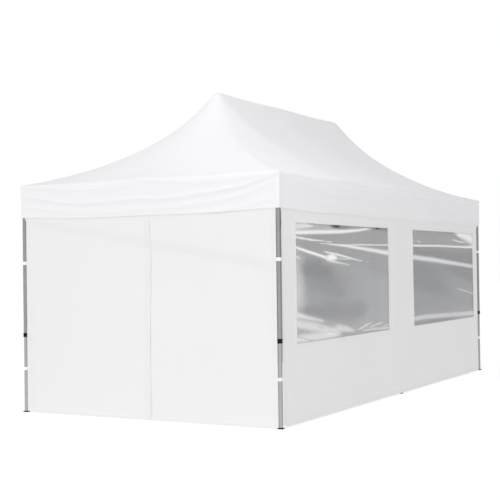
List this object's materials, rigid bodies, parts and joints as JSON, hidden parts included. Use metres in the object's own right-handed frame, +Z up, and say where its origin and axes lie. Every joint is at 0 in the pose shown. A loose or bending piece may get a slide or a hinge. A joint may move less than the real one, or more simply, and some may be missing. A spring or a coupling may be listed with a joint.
{
  "type": "pop-up marquee tent",
  "caption": "Pop-up marquee with a three-point hipped cloth roof, deep valance, zipped end walls, long walls with clear windows and telescopic legs.",
  "frame": {"origin": "on the ground, in the middle of the floor", "axes": "+X along the 6 m side, towards the end wall that the picture doesn't show; +Y from the windowed long wall in front to the back; +Z up"},
  "size_m": [6.014, 3.003, 3.36],
  "materials": {
    "aluminium_tube": "satin, drawn and anodised",
    "lattice_bar": "satin, drawn and anodised",
    "black_plastic": "matte moulded",
    "polyester_cloth": "coated woven, matte",
    "window_film": "clear flexible sheet, glossy"
  },
  "bodies": {
    "lower_leg_front_left": {"inner_leg_front_left": "aluminium_tube"},
    "tent": {"outer_leg_front_left": "aluminium_tube", "outer_leg_front_middle": "aluminium_tube", "outer_leg_front_right": "aluminium_tube", "outer_leg_back_left": "aluminium_tube", "outer_leg_back_middle": "aluminium_tube", "outer_leg_back_right": "aluminium_tube", "ridge_pole_left": "aluminium_tube", "ridge_pole_middle": "aluminium_tube", "ridge_pole_right": "aluminium_tube", "front_lattice": "lattice_bar", "back_lattice": "lattice_bar", "left_lattice": "lattice_bar", "right_lattice": "lattice_bar", "cross_lattice_left": "lattice_bar", "cross_lattice_middle": "lattice_bar", "cross_lattice_right": "lattice_bar", "ridge_scissor_left_end": "lattice_bar", "ridge_scissor_left": "lattice_bar", "ridge_scissor_right": "lattice_bar", "ridge_scissor_right_end": "lattice_bar", "latch_front_left": "black_plastic", "latch_front_middle": "black_plastic", "latch_front_right": "black_plastic", "latch_back_left": "black_plastic", "latch_back_middle": "black_plastic", "latch_back_right": "black_plastic", "roof_front": "polyester_cloth", "roof_back": "polyester_cloth", "roof_left": "polyester_cloth", "roof_right": "polyester_cloth", "wall_front": "polyester_cloth", "wall_back": "polyester_cloth", "wall_left_front_half": "polyester_cloth", "wall_left_back_half": "polyester_cloth", "wall_right_front_half": "polyester_cloth", "wall_right_back_half": "polyester_cloth", "window_front_left": "window_film", "window_front_right": "window_film", "window_back_left": "window_film", "window_back_right": "window_film"},
    "lower_leg_front_middle": {"inner_leg_front_middle": "aluminium_tube"},
    "lower_leg_front_right": {"inner_leg_front_right": "aluminium_tube"},
    "lower_leg_back_left": {"inner_leg_back_left": "aluminium_tube"},
    "lower_leg_back_middle": {"inner_leg_back_middle": "aluminium_tube"},
    "lower_leg_back_right": {"inner_leg_back_right": "aluminium_tube"}
  },
  "joints": [
    {"name": "raise_on_front_left_leg", "type": "slide", "parent": "lower_leg_front_left", "child": "tent", "axis": [0, 0, 1], "range_m": [0, 0.2]},
    {"name": "extend_front_middle_leg", "type": "slide", "parent": "tent", "child": "lower_leg_front_middle", "axis": [0, 0, -1], "range_m": [0, 0.2]},
    {"name": "extend_front_right_leg", "type": "slide", "parent": "tent", "child": "lower_leg_front_right", "axis": [0, 0, -1], "range_m": [0, 0.2]},
    {"name": "extend_back_left_leg", "type": "slide", "parent": "tent", "child": "lower_leg_back_left", "axis": [0, 0, -1], "range_m": [0, 0.2]},
    {"name": "extend_back_middle_leg", "type": "slide", "parent": "tent", "child": "lower_leg_back_middle", "axis": [0, 0, -1], "range_m": [0, 0.2]},
    {"name": "extend_back_right_leg", "type": "slide", "parent": "tent", "child": "lower_leg_back_right", "axis": [0, 0, -1], "range_m": [0, 0.2]}
  ],
  "couplings": [
    {"joint": "extend_front_middle_leg", "follows": "raise_on_front_left_leg", "ratio": 1},
    {"joint": "extend_front_right_leg", "follows": "raise_on_front_left_leg", "ratio": 1},
    {"joint": "extend_back_left_leg", "follows": "raise_on_front_left_leg", "ratio": 1},
    {"joint": "extend_back_middle_leg", "follows": "raise_on_front_left_leg", "ratio": 1},
    {"joint": "extend_back_right_leg", "follows": "raise_on_front_left_leg", "ratio": 1}
  ]
}
